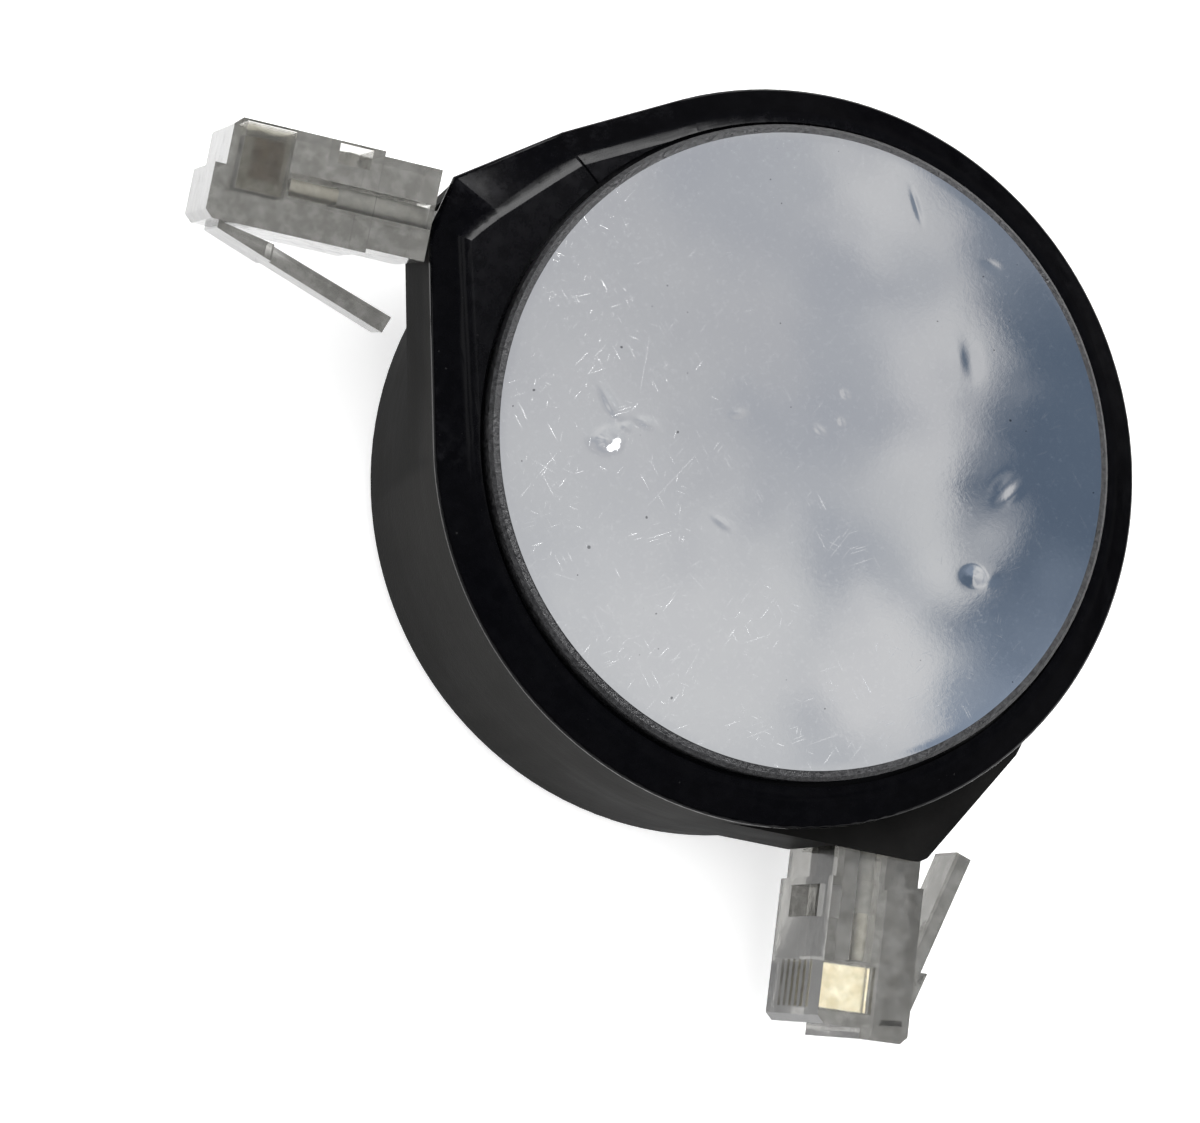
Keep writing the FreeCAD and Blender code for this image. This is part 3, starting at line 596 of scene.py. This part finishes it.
# the sky in the label, in units of the label's radius, right and up as the photograph shows it:
# each puff's place and radius, and how much of its colour it has
WHITE_PUFFS = [
    (0.23, 0.84, 0.28, 0.55), (0.40, 0.30, 0.28, 0.40), (0.42, -0.02, 0.26, 0.45),
    (0.50, -0.33, 0.22, 0.70), (0.20, -0.68, 0.32, 0.75), (0.34, -0.80, 0.26, 0.45),
    (-0.42, -0.62, 0.60, 0.55), (-0.75, 0.10, 0.45, 0.25),
]
GREY_GAPS = [
    (0.16, 0.50, 0.34, 0.55), (0.10, 0.16, 0.36, 0.45), (0.14, -0.34, 0.26, 0.75),
    (0.36, -0.46, 0.18, 0.60), (0.30, -0.66, 0.12, 0.40), (0.02, -0.85, 0.24, 0.40),
    (-0.20, 0.90, 0.50, 0.45), (0.0, 0.0, 0.40, 0.35),
]
# bright cards beside the sky, in metres on the panel: each a row of round patches, with its first and
# last place, how many patches, their radius and their strength
CARDS = [
    ((-0.28, 0.45), (-0.88, 0.80), 4, 0.17, 26.0),
    ((-0.40, -0.10), (-0.56, -0.34), 2, 0.13, 2.5),
    ((-0.07, 0.17), (-0.07, 0.17), 1, 0.10, 2.0),
    ((-0.25, 0.47), (-0.25, 0.47), 1, 0.20, 7.0),
    ((-0.17, 0.30), (-0.17, 0.30), 1, 0.13, 2.0),
]


def sky_material(label_height):
    """Grey cloud with a slate-blue break, laid out so that the flat foil shows it as in the photograph.

    A ray from the camera that the label turns back meets the panel at a place which is the label's
    own point times 1 + reach, less reach times the camera's place. The rest of the panel is plain cloud,
    with the bright cards on it.
    """
    material, tree = new_material("sky")
    reach = (PANEL_HEIGHT - label_height) / (CAMERA_PLACE.z - label_height)
    scale = 1 / ((1 + reach) * LABEL_RADIUS)
    shift = Vector((CAMERA_PLACE.x, CAMERA_PLACE.y, 0)) * reach * scale
    angle = -math.atan2(CAMERA_RIGHT.y, CAMERA_RIGHT.x)
    where = tree.place(scale=(scale, scale, 0), shift=shift)
    turned = tree.add("VectorRotate", {"rotation_type": "Z_AXIS"}, Vector=where, Angle=angle).outputs[0]
    billow = tree.add("TexNoise", Vector=turned, Scale=2.6, Detail=6.0, Roughness=0.58).outputs["Color"]
    drift = tree.vector("MULTIPLY", tree.vector("SUBTRACT", billow, (0.5, 0.5, 0.5)), (0.7, 0.7, 0.0))
    warped = tree.vector("ADD", turned, drift)
    curl = tree.add("TexNoise", Vector=warped, Scale=6.5, Detail=6.0, Roughness=0.62).outputs["Color"]
    drift = tree.vector("MULTIPLY", tree.vector("SUBTRACT", curl, (0.5, 0.5, 0.5)), (0.3, 0.3, 0.0))
    warped = tree.vector("ADD", warped, drift)
    parts = tree.add("SeparateXYZ", Vector=warped)
    across, up = parts.outputs[0], parts.outputs[1]

    def puffs(colour, rows, tone):
        for right, high, wide, amount in rows:
            away = tree.vector("DISTANCE", warped, (right, high, 0))
            colour = tree.blend(tree.span(away, wide, wide * 0.2, 0.0, amount), colour, tone)
        return colour

    cloud = tree.blend(tree.span(up, 0.3, -0.6), (0.485, 0.495, 0.520, 1), (0.565, 0.580, 0.600, 1))
    cloud = puffs(cloud, GREY_GAPS, (0.36, 0.385, 0.435, 1))
    cloud = puffs(cloud, WHITE_PUFFS, (0.68, 0.685, 0.695, 1))
    break_at = tree.math("ADD", across, tree.span(up, 0.25, 0.85, 0.0, 0.10))
    break_at = tree.math("ADD", break_at, tree.span(up, -0.32, -0.52, 0.0, 0.17))
    blue = tree.span(break_at, 0.50, 0.74)
    deep = tree.blend(tree.span(up, -0.25, -0.85), (0.100, 0.135, 0.190, 1), (0.235, 0.285, 0.365, 1))
    deep = tree.blend(tree.span(up, 0.35, 0.75), deep, (0.20, 0.235, 0.29, 1))
    colour = tree.blend(blue, cloud, deep)
    outside = tree.span(tree.vector("DISTANCE", turned, (0, 0, 0)), 1.4, 2.6)
    bank = tree.noise(tree.place(), 2.2, 5.0, 0.55)
    rest = tree.blend(tree.span(bank, 0.35, 0.65), (0.24, 0.26, 0.30, 1), (0.52, 0.53, 0.55, 1))
    colour = tree.blend(outside, colour, rest)
    glow = tree.add("Emission", Color=colour, Strength=1.0).outputs[0]
    for first, last, count, wide, strength in CARDS:
        lit = 0.0
        for k in range(count):
            middle = Vector(first).lerp(Vector(last), k / max(1, count - 1))
            away = tree.vector("DISTANCE", tree.place(), (middle.x, middle.y, 0))
            lit = tree.math("MAXIMUM", lit, tree.span(away, wide, wide * 0.7, 0.0, strength))
        card = tree.add("Emission", Strength=lit).outputs[0]
        glow = tree.add("AddShader", n0=glow, n1=card).outputs[0]
    tree.add("OutputMaterial", Surface=glow)
    return material


def wall_material(name, dark, light):
    """Mottled cloth that glows, for a wall or a card of the stage."""
    material, tree = new_material(name)
    mottle = tree.noise(tree.place(), 4.0, 2.0)
    glow = tree.add("Emission", Strength=tree.span(mottle, 0.3, 0.7, dark, light))
    tree.add("OutputMaterial", Surface=glow.outputs[0])
    return material


def wall_ring(name, radius, height, material):
    """A wall round the stage, which only reflections show."""
    shape = bmesh.new()
    bmesh.ops.create_cone(shape, cap_ends=False, segments=WALL_SEGMENTS, radius1=radius, radius2=radius,
                          depth=height)
    ring = new_object(name, shape, material)
    ring.location.z = height / 2
    return ring


def only_seen_by(card, kind):
    """Hide a card from every ray but the glossy ones, or but those that clear plastic passes on."""
    for ray in ("camera", "diffuse", "glossy", "transmission", "shadow", "volume_scatter"):
        setattr(card, "visible_" + ray, ray == kind)


def add_studio():
    """The floor, what the glossy and the clear surfaces show, and the light."""
    plane("floor", FLOOR_RADIUS, -FLOOR_DROP, floor_material())
    label_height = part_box("top_label")[1][2]
    only_seen_by(plane("sky_panel", PANEL_RADIUS, PANEL_HEIGHT, sky_material(label_height)), "glossy")
    far = wall_material("far_wall", 0.26, 0.42)
    near = wall_material("near_wall", 0.03, 0.06)
    only_seen_by(wall_ring("far_wall", FAR_WALL_RADIUS, PANEL_HEIGHT, far), "glossy")
    only_seen_by(wall_ring("near_wall", NEAR_WALL_RADIUS, NEAR_WALL_HEIGHT, near), "glossy")
    glint = plane("glint_card", GLINT_RADIUS, PANEL_HEIGHT, wall_material("glint", 1.8, 2.4))
    glint.location.xy = GLINT_PLACE
    only_seen_by(glint, "transmission")
    world = bpy.data.worlds.new("studio")
    bpy.context.scene.world = world
    tree = Nodes(world)
    strength = tree.math("ADD", WORLD_LIGHT, tree.math("MULTIPLY", seen_directly(tree), WORLD_SEEN))
    light = tree.add("Background", Color=(1, 1, 1, 1), Strength=strength)
    tree.add("OutputWorld", Surface=light.outputs[0])
    for row in LAMPS:
        add_lamp(*row)


def add_lamp(name, place, width, power):
    """A square soft light that points at the reel, and whose shape no glossy or clear surface shows."""
    data = bpy.data.lights.new(name, "AREA")
    data.size = width
    data.energy = power
    lamp = bpy.data.objects.new(name, data)
    lamp.location = place
    lamp.rotation_euler = (-Vector(place)).to_track_quat("-Z", "Y").to_euler()
    lamp.visible_glossy = False
    lamp.visible_transmission = False
    bpy.context.collection.objects.link(lamp)


bpy.context.scene.view_settings.view_transform = "Standard"
add_camera()
materials = make_materials()
dress_nodes(materials)
foil_label(materials["label_foil"])
for plug in PLUGS:
    cord_run(plug, materials["cord_sheath"])
add_studio()
